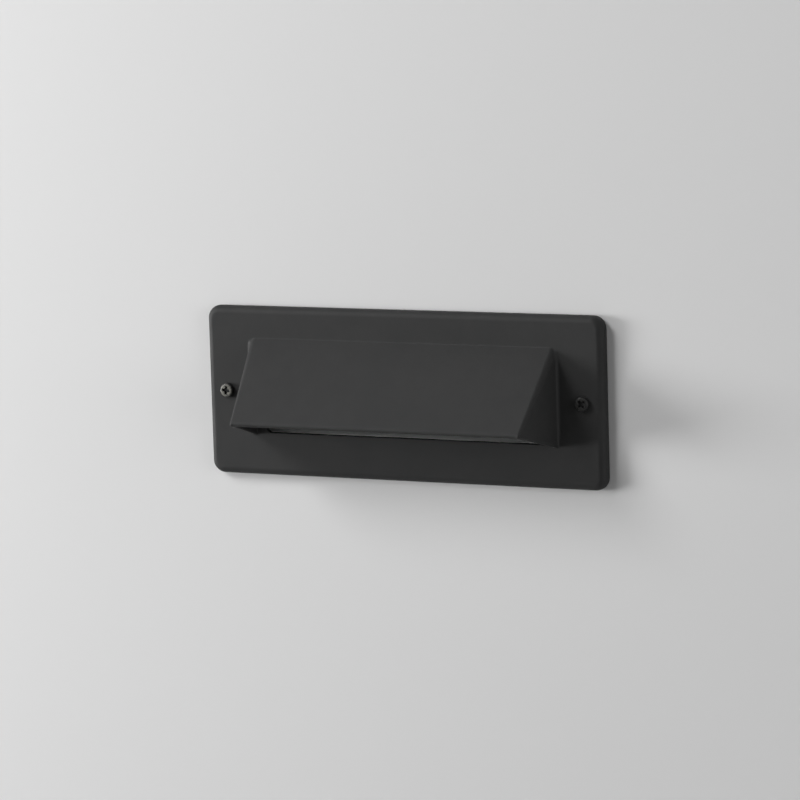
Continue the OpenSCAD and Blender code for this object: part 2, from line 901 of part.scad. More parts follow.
function tube_outlines(route, r, sides) =
    let (
        along = directions(route),
        normals = carried(along, [0, 0, 1])
    )
    [for (i = [0 : len(route) - 1])
        let (side_normal = cross(along[i], normals[i]))
        [for (k = [0 : sides - 1])
            route[i] + r * (cos(360 * k / sides) * normals[i]
                + sin(360 * k / sides) * side_normal)]];

// The two leads of a socket: one on its route, the other on the same route below the lamp
module leads(route) {
    color([0.12, 0.12, 0.13])
        for (z = [1, -1])
            loft(tube_outlines(
                [for (p = rounded_route(route)) [p[0], p[1], z * p[2]]], lead_d / 2, lead_sides));
}

// Gel-filled wire connectors, closed at the end away from the leads
module wire_connectors() {
    skirt_len = 9;
    tip_r = 3.6;
    color([0.1, 0.2, 0.5])
        for (z = [-1, 1])
            translate([connector_mouth_x, wire_y, z * connector_z])
                rotate([0, -90, 0])
                    rotate_extrude()
                        union() {
                            square([connector_r, skirt_len]);
                            polygon([
                                [0, skirt_len], [connector_r - 0.5, skirt_len],
                                [tip_r, connector_len - tip_r], [0, connector_len - tip_r]
                            ]);
                            translate([0, connector_len - tip_r])
                                quarter_disc(tip_r);
                        }
}

faceplate();
faceplate_gasket();
lens_gasket();
lens();
lens_clips();
lens_clip_screws();
face_screw(-1);  // left_face_screw
face_screw(1);  // right_face_screw
captive_washer(-1);  // left_captive_washer
captive_washer(1);  // right_captive_washer
back_box();
screw_inserts();
rear_hub();
side_hub(-1);  // left_side_hub
side_hub(1);  // right_side_hub
hub_plug(-1);  // left_hub_plug
hub_plug(1);  // right_hub_plug
reflector_posts();
reflector();
socket_bracket(-1);  // left_socket_bracket
socket_bracket(1);  // right_socket_bracket
reflector_screws();
socket(-1);  // left_socket
socket(1);  // right_socket
socket_contacts(-1);  // left_socket_contacts
socket_contacts(1);  // right_socket_contacts
lamp(-1);  // left_lamp
lamp(1);  // right_lamp
leads(left_route);  // left_leads
leads(right_route);  // right_leads
wire_connectors();
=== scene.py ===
"""Looks of the hooded step light: meshes, materials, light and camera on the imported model."""
import itertools
import json
import math

import bpy
import numpy as np
from mathutils import Matrix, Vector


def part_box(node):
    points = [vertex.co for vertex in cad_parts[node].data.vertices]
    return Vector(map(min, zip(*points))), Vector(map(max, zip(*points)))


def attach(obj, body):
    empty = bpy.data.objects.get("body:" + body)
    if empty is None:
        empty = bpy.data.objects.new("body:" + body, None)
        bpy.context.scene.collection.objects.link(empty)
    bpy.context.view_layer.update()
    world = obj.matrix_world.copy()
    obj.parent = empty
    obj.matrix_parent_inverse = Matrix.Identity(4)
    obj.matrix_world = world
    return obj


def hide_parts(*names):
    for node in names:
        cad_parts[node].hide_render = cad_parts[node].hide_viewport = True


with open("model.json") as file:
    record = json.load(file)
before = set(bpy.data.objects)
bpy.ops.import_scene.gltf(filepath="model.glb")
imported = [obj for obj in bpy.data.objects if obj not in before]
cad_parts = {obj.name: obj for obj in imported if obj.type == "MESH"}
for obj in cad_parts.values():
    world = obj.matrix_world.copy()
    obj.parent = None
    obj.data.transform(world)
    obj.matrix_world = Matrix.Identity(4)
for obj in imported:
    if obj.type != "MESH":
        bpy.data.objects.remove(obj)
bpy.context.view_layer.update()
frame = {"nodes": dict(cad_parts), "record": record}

MM = 0.001

# Sizes of the faceplate and its hood in mm, as in the part's source. X runs to the right,
# Z up, and "out" is the distance from the wall towards the viewer, so out = -Y.
PLATE_W, PLATE_H, PLATE_T = 235.0, 92.0, 6.0
PLATE_CORNER_R, SHOULDER_R, FACE_WALL, RIM_W = 7.0, 4.0, 3.0, 5.0
BACK_EDGE_R = 0.4
CORNER_FILL = 3.0   # so much more radius in the pocket's corners than its rim alone would give
POCKET_CORNER_R = PLATE_CORNER_R - RIM_W + CORNER_FILL
HOOD_W, HOOD_TOP, HOOD_DROP, HOOD_WALL = 182.0, 29.0, 23.6, 2.5
HOOD_REACH, NOSE_RISE, NOSE_R = 36.0, 9.2, 1.5
CHEEK_DRAFT = math.radians(9)
NOSE_OUT, NOSE_Z = HOOD_REACH - NOSE_R, NOSE_RISE - HOOD_DROP + NOSE_R
FACE_ANGLE = (math.atan2(NOSE_Z - HOOD_TOP, NOSE_OUT)
              + math.asin(NOSE_R / math.hypot(NOSE_OUT, NOSE_Z - HOOD_TOP)))
UNDER_ANGLE = (math.atan2(NOSE_Z + HOOD_DROP, NOSE_OUT)
               - math.asin(NOSE_R / math.hypot(NOSE_OUT, NOSE_Z + HOOD_DROP)))
CREASE_R, CREASE_NOSE_R, LIP_EDGE_R, CAVITY_CREASE_R, CAVITY_FOOT_R = 4.0, 1.5, 0.5, 1.5, 0.8
CHEEK_EDGE_R = 1.0
LIP_FADE = 0.3, 1.5   # distances in front of the plate between which the lip gets its radius
TOP_BLEND_R, CHEEK_BLEND_R, LOW_BLEND_R = 1.0, 2.0, 1.0
LOW_BLEND_TOP = -14.0   # height up to which the lower blend passes into the cheek's
CAVITY_TOP = HOOD_TOP - HOOD_WALL / math.cos(FACE_ANGLE)
APERTURE_LEDGE, APERTURE_RISE, APERTURE_DROP = 6.0, 1.2, 2.0
APERTURE_HALF_W = HOOD_W / 2 - HOOD_WALL - APERTURE_LEDGE
APERTURE_LOW, APERTURE_HIGH = APERTURE_RISE - HOOD_DROP, CAVITY_TOP - APERTURE_DROP
APERTURE_MID_Z = (APERTURE_HIGH + APERTURE_LOW) / 2
APERTURE_HALF_H = (APERTURE_HIGH - APERTURE_LOW) / 2
APERTURE_CORNER_R, APERTURE_EDGE_R, APERTURE_END = 3.0, 0.4, 1.0
LENS_OVERLAP, BOSS_R, BOSS_GAP, PILOT_R, BOSS_BACK = 4.0, 2.8, 1.2, 1.25, -1.0
BOSS_ROOT, PILOT_END = 1.0, 0.5   # how far boss and pilot hole reach into the face wall
BOSS_X = APERTURE_HALF_W + LENS_OVERLAP + BOSS_R + BOSS_GAP
BOSS_Z = (APERTURE_HALF_H + LENS_OVERLAP) / 2
SCREW_X, SCREW_HOLE_R = 105.5, 2.35

# Grid lines of the faceplate's mesh in mm: the start, then the end and the step of each span
MESH_X = (-118.5, (-77, 0.6), (77, 5.5), (118.5, 0.6))
MESH_Y = (-43.1, (-38.5, 0.5), (-11, 1.1), (2, 0.5))
MESH_Z = (-47, (-40, 0.55), (-26.5, 1.5), (-20, 0.55), (17, 1.3), (33, 0.7), (40, 1.4), (47, 0.55))
FINE = 0.5
PROBE_PARTS = 20   # a gradient is measured over one such part of a grid step to each side
SNAP_ROUNDS, SNAP_SLOPE = 4, 0.25   # moves of the points onto the surface, and least slope squared

# Face screws, in mm
HEAD_R, HEAD_H, HEAD_EDGE_R = 3.9, 2.4, 1.2
RECESS_HALF_LEN, RECESS_HALF_W, RECESS_DEPTH = 2.4, 0.7, 1.5
RECESS_TAPER, RECESS_CONE_R = 0.28, 1.0
SCREW_STEP = 0.12
SHANK_R, SHANK_LEN, THREAD_PITCH, THREAD_DEPTH = 2.05, 16.0, 0.794, 0.4
SHANK_AROUND, SHANK_RINGS = 40, 8   # points round the shank and rings in each pitch
TIP_LEN, TIP_TAPER, TIP_R = 1.0, 0.5, 0.2
SCREW_TURN = {"left": math.radians(-7), "right": math.radians(40)}

# Camera fitted to the photograph: angles, aim point and distance in metres
CAMERA_YAW, CAMERA_PITCH, CAMERA_ROLL = (math.radians(v) for v in (26.776, 7.898, 1.675))
CAMERA_AIM = (-0.003959, 0.0, -0.002695)
CAMERA_DISTANCE = 2.1413
SENSOR_W = 36.0
LENS = 4009.0 / 800.0 * SENSOR_W

# Rear conduit hub, in mm along Y
HUB_BORE_R, HUB_THREAD_PITCH, HUB_THREAD_DEPTH = 9.9, 1.814, 0.55
HUB_THREAD_START, HUB_THREAD_END = 75.0, 86.0
HUB_AROUND, HUB_RUN_OUT = 48, 12   # points in each turn, and those over which the ridge fades
HUB_FOOT, HUB_CREST, HUB_SUNK = 0.48, 0.06, 0.02   # half widths in pitches; depth of the foot in mm

# The angle from which an edge of a CAD piece is rounded, and how wide in mm
EDGE_ANGLE = math.radians(32)
EDGE_WIDTHS = {
    "back_box": 0.5, "rear_hub": 0.4, "left_side_hub": 0.4, "right_side_hub": 0.4,
    "left_hub_plug": 0.4, "right_hub_plug": 0.4, "reflector_posts": 0.4, "reflector": 0.15,
    "left_socket": 0.3, "right_socket": 0.3,
    "left_socket_bracket": 0.12, "right_socket_bracket": 0.12, "lens": 0.3,
    "lens_clips": 0.1, "lens_clip_screws": 0.1, "reflector_screws": 0.1, "screw_inserts": 0.2,
    "wire_connectors": 0.2,
}

# Finishes; places and heights are in metres
SCREW_BLACK, SCREW_WORN = (0.012, 0.012, 0.012), (0.14, 0.137, 0.12)
WORN_TOP = -0.0079, -0.0083   # places along Y between which the wear on the head sets in
SCREW_SHADE_SIDE = -0.05, 0.05      # places along X between which painted shade sets in: the right screw, in the shadow of the hood's cheek, loses its wear and sheen
# dark tone of the glass, which above its foot stands for the painted shadow of the hood's lip, and
# the pale colour of the painted light on its foot
DARK_GLASS, LIT_FOOT_COLOR = (0.4, 0.41, 0.405), (0.95, 0.95, 0.93)
LIP_SHADOW_EDGE = -0.0223, -0.0219   # heights between which the pale lit foot gives way to the painted shadow of the hood's lip
LIT_FOOT_SIDE = -0.04, 0.09       # places along X between which the painted light on the glass's foot fades towards the right
GLASS_IOR = 1.5

# Stage and light, in metres and watts
WALL_HALF, WALL_BEHIND = 1.6, 0.0003
HOLE_HALF_W, HOLE_HALF_H = 0.1122, 0.0407
FLOOR_Z, FLOOR_HALF = -2.6, 6.0
WALL_COLOR = (0.72, 0.72, 0.72)
FLOOR_COLOR = (0.72, 0.72, 0.72)
WALL_GLOW, FLOOR_GLOW = 0.0, 0.4
SKY_LIGHT, SKY_SEEN = 0.05, 0.6
LIGHT_DISTANCE = 2.4
VIEW_END = 50.0

# Degrees to the right of the wall's normal and above the horizon, then size and power
LIGHTS = {
    "left": (-70, 0, 0.8, 54.0),
    "left_high": (-50, 35, 1.0, 37.0),
    "left_mid": (-50, 0, 0.8, 3.0),
    "right": (68, 5, 1.4, 15.0),
    "rear": (163, 34, 1.6, 40.0),
}


# Distance functions. Each gives the signed distance to a surface, below 0 inside it.

def round_inside(a, b, r, c=0.0):
    """Intersection with an edge of radius r; c is the cosine between the outward normals."""
    a1, b1 = a + r, b + r
    at_edge = (a1 > c * b1) & (b1 > c * a1)
    edge = np.sqrt(np.maximum(a1 * a1 + b1 * b1 - 2 * c * a1 * b1, 0) / (1 - c * c))
    return np.where(at_edge, edge, np.maximum(a1, b1)) - r


def round_joined(a, b, r, c=0.0):
    """Union with a concave blend of radius r."""
    return -round_inside(-a, -b, r, c)


def smooth_step(low, high, v):
    t = np.clip((v - low) / (high - low), 0, 1)
    return t * t * (3 - 2 * t)


def rounded_rect(x, z, half_w, half_h, r):
    qx, qz = np.abs(x) - (half_w - r), np.abs(z) - (half_h - r)
    return np.hypot(np.maximum(qx, 0), np.maximum(qz, 0)) + np.minimum(np.maximum(qx, qz), 0) - r


def wedge_planes(x, out, z):
    """Distances to the hood's face, its cheeks and its open lower side."""
    u = out - PLATE_T
    face = (z - HOOD_TOP - u * math.tan(FACE_ANGLE)) * math.cos(FACE_ANGLE)
    cheek = (np.abs(x) - HOOD_W / 2 + u * math.tan(CHEEK_DRAFT)) * math.cos(CHEEK_DRAFT)
    under = (u * math.tan(UNDER_ANGLE) - HOOD_DROP - z) * math.cos(UNDER_ANGLE)
    return u, face, cheek, under


def faceplate_distance(x, y, z):
    out = -y
    plate = rounded_rect(x, z, PLATE_W / 2, PLATE_H / 2, PLATE_CORNER_R)
    plate = round_inside(plate, out - PLATE_T, SHOULDER_R)
    plate = round_inside(plate, -out, BACK_EDGE_R)

    u, face, cheek, under = wedge_planes(x, out, z)
    face_cheek = -math.sin(FACE_ANGLE) * math.sin(CHEEK_DRAFT)
    face_under = -math.cos(FACE_ANGLE - UNDER_ANGLE)
    cheek_under = math.sin(CHEEK_DRAFT) * math.sin(UNDER_ANGLE)
    crease_r = CREASE_R + (CREASE_NOSE_R - CREASE_R) * np.clip(u / HOOD_REACH, 0, 1)
    crown = round_inside(face, cheek, crease_r, face_cheek)
    on_face = smooth_step(-CREASE_NOSE_R, CREASE_NOSE_R, face - cheek)
    lip_r = CHEEK_EDGE_R + (NOSE_R - CHEEK_EDGE_R) * on_face
    lip_c = cheek_under + (face_under - cheek_under) * on_face
    hood = round_inside(crown, under, lip_r, lip_c)
    hood = np.maximum(hood, -u - FACE_WALL / 2)

    on_top = on_face * (z > 0)
    blend = LOW_BLEND_R + (CHEEK_BLEND_R - LOW_BLEND_R) * smooth_step(-HOOD_DROP, LOW_BLEND_TOP, z)
    blend = blend + (TOP_BLEND_R - CHEEK_BLEND_R) * on_top
    blend_c = math.sin(CHEEK_DRAFT) - (math.sin(FACE_ANGLE) + math.sin(CHEEK_DRAFT)) * on_top
    body = round_joined(plate, hood, blend, blend_c)

    inner = round_inside(face + HOOD_WALL, cheek + HOOD_WALL, CAVITY_CREASE_R, face_cheek)
    foot_c = np.where(face > cheek, math.sin(FACE_ANGLE), -math.sin(CHEEK_DRAFT))
    cavity = round_inside(inner, -u, CAVITY_FOOT_R, foot_c)
    mid_z = z - APERTURE_MID_Z
    aperture = rounded_rect(x, mid_z, APERTURE_HALF_W, APERTURE_HALF_H, APERTURE_CORNER_R)
    aperture = np.maximum(aperture, u - APERTURE_END)
    void = round_joined(cavity, aperture, APERTURE_EDGE_R)
    body = round_inside(body, -void, LIP_EDGE_R * smooth_step(*LIP_FADE, u))

    pocket = rounded_rect(x, z, PLATE_W / 2 - RIM_W, PLATE_H / 2 - RIM_W, POCKET_CORNER_R)
    pocket = round_inside(pocket, out - FACE_WALL, BACK_EDGE_R)
    body = round_inside(body, -pocket, BACK_EDGE_R)

    boss_at = np.hypot(np.abs(x) - BOSS_X, np.abs(mid_z) - BOSS_Z)
    boss = round_inside(boss_at - BOSS_R, BOSS_BACK - out, BACK_EDGE_R)
    boss = np.maximum(boss, out - FACE_WALL - BOSS_ROOT)
    body = round_joined(body, boss, LIP_EDGE_R)
    body = np.maximum(body, -np.maximum(boss_at - PILOT_R, out - FACE_WALL - PILOT_END))

    hole = np.hypot(np.abs(x) - SCREW_X, z) - SCREW_HOLE_R
    return round_inside(body, -hole, BACK_EDGE_R)


def screw_head_distance(x, y, z):
    """Pan head with a cross recess; its foot is at y = 0 and its top at y = -HEAD_H."""
    up = -y
    r = np.hypot(x, z)
    head = round_inside(r - HEAD_R, up - HEAD_H, HEAD_EDGE_R)
    head = round_inside(head, -up, SCREW_STEP)
    sunk = HEAD_H - up
    taper = RECESS_TAPER * sunk
    wings = None
    for a, b in ((x, z), (z, x)):
        wing_end = np.abs(a) - RECESS_HALF_LEN + 2 * taper
        wing = np.maximum(wing_end, np.abs(b) - RECESS_HALF_W + taper / 2)
        wings = wing if wings is None else round_joined(wings, wing, RECESS_HALF_W)
    cone = (r - RECESS_CONE_R + taper) * math.cos(RECESS_TAPER)
    recess = np.maximum(np.minimum(wings, cone), sunk - RECESS_DEPTH)
    return round_inside(head, -recess, SCREW_STEP)


# Meshes from distance functions

def gradient(field, p, fine):
    """Slope of the field at the points p, for a grid step of about the given size."""
    step = fine / PROBE_PARTS
    g = np.empty_like(p)
    for k in range(3):
        ahead, behind = p.copy(), p.copy()
        ahead[:, k] += step
        behind[:, k] -= step
        g[:, k] = (field(*ahead.T) - field(*behind.T)) / (2 * step)
    return g


def graded(start, *spans):
    """Grid lines from the start on, with a step of its own in each span."""
    lines = [float(start)]
    for end, step in spans:
        count = max(1, round((end - lines[-1]) / step))
        lines += list(np.linspace(lines[-1], end, count + 1)[1:])
    return np.array(lines)


def surface_net(field, axes, fine):
    """Points on the surface of the field, and four-sided faces that join them."""
    d = field(*np.meshgrid(*axes, indexing="ij"))
    inside = d < 0
    cells = tuple(n - 1 for n in d.shape)

    def corner(a, i, j, k):
        return a[i:i + cells[0], j:j + cells[1], k:k + cells[2]]

    count = sum(corner(inside, *c).astype(np.int8) for c in itertools.product((0, 1), repeat=3))
    mixed = (count > 0) & (count < 8)
    index = np.full(cells, -1, np.int64)
    index[mixed] = np.arange(mixed.sum())
    at = np.argwhere(mixed)

    total = np.zeros((len(at), 3))
    crossings = np.zeros(len(at))
    for start in itertools.product((0, 1), repeat=3):
        for k in range(3):
            if start[k]:
                continue
            end = list(start)
            end[k] = 1
            d0 = d[tuple((at + start).T)]
            d1 = d[tuple((at + end).T)]
            cut = (d0 < 0) != (d1 < 0)
            share = np.where(cut, d0 / np.where(cut, d0 - d1, 1), 0)
            offset = np.tile(np.array(start, float), (len(at), 1))
            offset[:, k] += share
            total += offset * cut[:, None]
            crossings += cut
    share = total / crossings[:, None]
    points = np.empty_like(share)
    for k in range(3):
        low, high = axes[k][at[:, k]], axes[k][at[:, k] + 1]
        points[:, k] = low + share[:, k] * (high - low)

    faces = []
    for k in range(3):
        i, j = (k + 1) % 3, (k + 2) % 3
        here = [slice(None)] * 3
        here[k] = slice(0, -1)
        ahead = list(here)
        ahead[k] = slice(1, None)
        a, b = inside[tuple(here)], inside[tuple(ahead)]
        edge = np.argwhere(a != b)
        edge = edge[(edge[:, i] > 0) & (edge[:, j] > 0)]
        outward = a[tuple(edge.T)]
        ring = []
        for di, dj in ((1, 1), (0, 1), (0, 0), (1, 0)):
            cell = edge.copy()
            cell[:, i] -= di
            cell[:, j] -= dj
            keep = (cell < np.array(cells)).all(1)
            cell = np.minimum(cell, np.array(cells) - 1)
            ring.append(np.where(keep, index[tuple(cell.T)], -1))
        quad = np.stack(ring, 1)
        quad = np.where(outward[:, None], quad, quad[:, ::-1])
        faces.append(quad[(quad >= 0).all(1)])
    faces = np.concatenate(faces)

    for _ in range(SNAP_ROUNDS):
        g = gradient(field, points, fine)
        scale = field(*points.T) / np.maximum((g * g).sum(1), SNAP_SLOPE)
        points -= g * np.clip(scale, -fine / 2, fine / 2)[:, None]
    return points, faces


def unit_rows(v):
    return v / np.maximum(np.linalg.norm(v, axis=1, keepdims=True), 1e-9)


def link(obj):
    bpy.context.scene.collection.objects.link(obj)
    return obj


def mesh_object(name, points, faces, material, smooth=True):
    """New object from points in mm; its origin is the model's."""
    mesh = bpy.data.meshes.new(name)
    mesh.from_pydata((np.asarray(points) * MM).tolist(), [], [list(map(int, f)) for f in faces])
    mesh.validate()
    mesh.materials.append(material)
    mesh.polygons.foreach_set("use_smooth", [smooth] * len(mesh.polygons))
    mesh.update()
    return link(bpy.data.objects.new(name, mesh))


def exact_normals(obj, normals):
    """Shades the mesh with the given normals; a zero leaves the vertex its own."""
    obj.data.normals_split_custom_set_from_vertices(normals.tolist())


def make_faceplate(material):
    axes = [graded(*spans) for spans in (MESH_X, MESH_Y, MESH_Z)]
    points, faces = surface_net(faceplate_distance, axes, FINE)
    box_low, box_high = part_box("faceplate")
    points = np.clip(points, np.array(box_low) / MM, np.array(box_high) / MM)
    obj = mesh_object("faceplate_casting", points, faces, material)
    exact_normals(obj, unit_rows(gradient(faceplate_distance, points, FINE)))
    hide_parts("faceplate")
    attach(obj, "cover")


def make_face_screw(side, material):
    """Pan-head screw: head from its distance function, shank with a rolled thread."""
    sign = -1 if side == "left" else 1
    margin = 3 * SCREW_STEP
    across = np.arange(-HEAD_R - margin, HEAD_R + 2 * margin, SCREW_STEP)
    along = np.arange(-HEAD_H - margin, 2 * margin, SCREW_STEP)
    head, faces = surface_net(screw_head_distance, (across, along, across), SCREW_STEP)
    head = np.clip(head, (-HEAD_R, -HEAD_H, -HEAD_R), (HEAD_R, 0, HEAD_R))
    shank, shank_faces = threaded_shank()
    faces = [tuple(f) for f in faces] + [tuple(i + len(head) for i in f) for f in shank_faces]
    normals = unit_rows(gradient(screw_head_distance, head, SCREW_STEP))
    normals = np.concatenate([normals, np.zeros_like(shank)])
    turn = np.array(Matrix.Rotation(-SCREW_TURN[side], 3, "Y"))
    points = np.concatenate([head, shank]) @ turn.T + (sign * SCREW_X, -PLATE_T, 0)
    obj = mesh_object(side + "_pan_screw", points, faces, material)
    exact_normals(obj, normals @ turn.T)
    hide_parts(side + "_face_screw")
    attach(obj, side + "_screw")


def threaded_shank():
    """Rings of points whose radius follows a V thread; pointed towards the tip."""
    around = SHANK_AROUND
    count = int(SHANK_LEN / THREAD_PITCH * SHANK_RINGS)
    points, faces = [], []
    for k in range(count + 1):
        y = SHANK_LEN * k / count
        at_tip = max(0.0, y - SHANK_LEN + TIP_LEN)
        for i in range(around):
            share = (y / THREAD_PITCH + i / around) % 1.0
            cut = THREAD_DEPTH * abs(2 * share - 1) * min(1.0, y / (2 * THREAD_PITCH))
            r = max(SHANK_R - cut, TIP_R) - TIP_TAPER * at_tip
            angle = 2 * math.pi * i / around
            points.append((r * math.cos(angle), y, r * math.sin(angle)))
    for k in range(count):
        for i in range(around):
            a, b = k * around + i, k * around + (i + 1) % around
            faces.append((a, a + around, b + around, b))
    faces.append(tuple(range(around)))
    faces.append(tuple(range(count * around, (count + 1) * around))[::-1])
    return np.array(points), faces


def make_hub_thread(material):
    """Internal thread of the rear conduit hub, a V ridge wound along the bore."""
    around, pitch = HUB_AROUND, HUB_THREAD_PITCH
    steps = int((HUB_THREAD_END - HUB_THREAD_START) / pitch * around)
    points, faces = [], []
    for k in range(steps + 1):
        angle = 2 * math.pi * k / around
        mid = HUB_THREAD_START + pitch * k / around
        rise = HUB_THREAD_DEPTH * min(1.0, k / HUB_RUN_OUT, (steps - k) / HUB_RUN_OUT)
        foot_r, crest_r = HUB_BORE_R + HUB_SUNK, HUB_BORE_R - rise
        for r, share in ((foot_r, -HUB_FOOT), (crest_r, -HUB_CREST), (crest_r, HUB_CREST),
                         (foot_r, HUB_FOOT)):
            points.append((r * math.cos(angle), mid + share * pitch, r * math.sin(angle)))
    for k in range(steps):
        for i in range(4):
            a, b = 4 * k + i, 4 * k + (i + 1) % 4
            faces.append((a, b, b + 4, a + 4))
    faces.append((3, 2, 1, 0))
    faces.append(tuple(4 * steps + i for i in range(4)))
    obj = mesh_object("rear_hub_thread", points, faces, material, smooth=False)
    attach(obj, "housing")


# Materials. Object coordinates are in metres and stay with the piece.

def new_material(name, color, roughness, metallic=0.0):
    material = bpy.data.materials.new(name)
    material.use_nodes = True
    shader = material.node_tree.nodes["Principled BSDF"]
    shader.inputs["Base Color"].default_value = (*color, 1.0)
    shader.inputs["Roughness"].default_value = roughness
    shader.inputs["Metallic"].default_value = metallic
    return material, shader


def node(material, kind, **values):
    made = material.node_tree.nodes.new(kind)
    for key, value in values.items():
        if key in made.inputs:
            made.inputs[key].default_value = value
        else:
            setattr(made, key, value)
    return made


def wire(material, out, into):
    material.node_tree.links.new(out, into)


def object_place(material):
    return node(material, "ShaderNodeTexCoord").outputs["Object"]


def split_place(material):
    split = node(material, "ShaderNodeSeparateXYZ")
    wire(material, object_place(material), split.inputs["Vector"])
    return split


def noise(material, scale, detail=3.0, stretch=(1, 1, 1)):
    mapping = node(material, "ShaderNodeMapping")
    mapping.inputs["Scale"].default_value = stretch
    wire(material, object_place(material), mapping.inputs["Vector"])
    made = node(material, "ShaderNodeTexNoise", Scale=scale, Detail=detail)
    wire(material, mapping.outputs["Vector"], made.inputs["Vector"])
    return made.outputs["Fac"]


def cells(material, scale):
    made = node(material, "ShaderNodeTexVoronoi", Scale=scale)
    wire(material, object_place(material), made.inputs["Vector"])
    return made


def remap(material, value, low, high, to_low, to_high):
    made = node(material, "ShaderNodeMapRange")
    made.inputs["From Min"].default_value = low
    made.inputs["From Max"].default_value = high
    made.inputs["To Min"].default_value = to_low
    made.inputs["To Max"].default_value = to_high
    wire(material, value, made.inputs["Value"])
    return made.outputs["Result"]


def times(material, a, b):
    made = node(material, "ShaderNodeMath", operation="MULTIPLY")
    wire(material, a, made.inputs[0])
    wire(material, b, made.inputs[1])
    return made.outputs[0]


def mix_color(material, factor, a, b):
    made = node(material, "ShaderNodeMix", data_type="RGBA")
    wire(material, factor, made.inputs[0])
    for socket, color in ((made.inputs[6], a), (made.inputs[7], b)):
        if isinstance(color, tuple):
            socket.default_value = (*color, 1.0)
        else:
            wire(material, color, socket)
    return made.outputs[2]


def bump(material, shader, height, strength, distance, below=None):
    made = node(material, "ShaderNodeBump", Strength=strength, Distance=distance)
    wire(material, height, made.inputs["Height"])
    if below is not None:
        wire(material, below, made.inputs["Normal"])
    wire(material, made.outputs["Normal"], shader.inputs["Normal"])
    return made.outputs["Normal"]


def cloudy(material, shader, dark, light, scale, stretch=(1, 1, 1)):
    """Base colour that wanders between two tones."""
    factor = remap(material, noise(material, scale, 4.0, stretch), 0.3, 0.7, 0, 1)
    color = mix_color(material, factor, dark, light)
    wire(material, color, shader.inputs["Base Color"])
    return color


def uneven_gloss(material, shader, low, high, scale, stretch=(1, 1, 1)):
    wire(material, remap(material, noise(material, scale, 3.0, stretch), 0.3, 0.7, low, high),
         shader.inputs["Roughness"])


def powder_coat():
    """Charcoal powder coat: faint clouds, orange peel, fine grain and a few pale specks of dust."""
    material, shader = new_material("powder_coat", (0.026, 0.026, 0.026), 0.6)
    shader.inputs["Specular IOR Level"].default_value = 0.18
    color = cloudy(material, shader, (0.0242, 0.0244, 0.0245), (0.0278, 0.0278, 0.0278), 45.0)
    specks = cells(material, 70.0)
    near = remap(material, specks.outputs["Distance"], 0.012, 0.02, 1, 0)
    split = node(material, "ShaderNodeSeparateColor")
    wire(material, specks.outputs["Color"], split.inputs["Color"])
    chosen = remap(material, split.outputs[0], 0.93, 0.94, 0, 1)
    color = mix_color(material, times(material, near, chosen), color, (0.3, 0.3, 0.29))
    wire(material, color, shader.inputs["Base Color"])
    uneven_gloss(material, shader, 0.57, 0.63, 160.0)
    peel = bump(material, shader, noise(material, 420.0, 2.0), 0.12, 0.0004)
    bump(material, shader, noise(material, 2600.0, 2.0), 0.10, 0.00012, peel)
    return material


def face_screw_steel():
    """Black oxide that is worn to dull metal on top of the head; the right screw is painted darker
    and less glossy, as painted shade of the hood's cheek.
    """
    material, shader = new_material("face_screw_steel", SCREW_BLACK, 0.45)
    split = split_place(material)
    on_top = remap(material, split.outputs["Y"], *WORN_TOP, 0, 1)
    patches = remap(material, noise(material, 900.0, 4.0), 0.35, 0.6, 0.25, 1)
    # painted shade: the right screw lies in the shadow of the hood's cheek, so its wear, metal look
    # and sheen are turned down
    side = remap(material, split.outputs["X"], *SCREW_SHADE_SIDE, 1, 0.06)
    wear_and_shade = times(material, times(material, on_top, patches), side)
    wire(material, mix_color(material, wear_and_shade, SCREW_BLACK, SCREW_WORN), shader.inputs["Base Color"])
    wire(material, remap(material, wear_and_shade, 0, 1, 0, 0.55), shader.inputs["Metallic"])
    wire(material, remap(material, side, 0, 1, 0.2, 0.5), shader.inputs["Specular IOR Level"])
    uneven_gloss(material, shader, 0.4, 0.6, 800.0)
    bump(material, shader, noise(material, 2200.0, 3.0), 0.2, 0.0001)
    return material


def black_foam():
    """Closed-cell foam: small pores all over."""
    material, shader = new_material("black_foam", (0.02, 0.02, 0.02), 0.9)
    cloudy(material, shader, (0.015, 0.015, 0.015), (0.028, 0.028, 0.028), 250.0)
    pores = remap(material, cells(material, 1300.0).outputs["Distance"], 0.0, 0.5, 0, 1)
    bump(material, shader, pores, 0.6, 0.0003)
    return material


def silicone():
    """Cloudy grey silicone."""
    material, shader = new_material("silicone", (0.55, 0.55, 0.52), 0.45)
    shader.inputs["Subsurface Weight"].default_value = 0.3
    shader.inputs["Subsurface Radius"].default_value = (0.002, 0.002, 0.002)
    cloudy(material, shader, (0.5, 0.5, 0.47), (0.6, 0.6, 0.57), 120.0)
    bump(material, shader, noise(material, 700.0), 0.1, 0.0002)
    return material


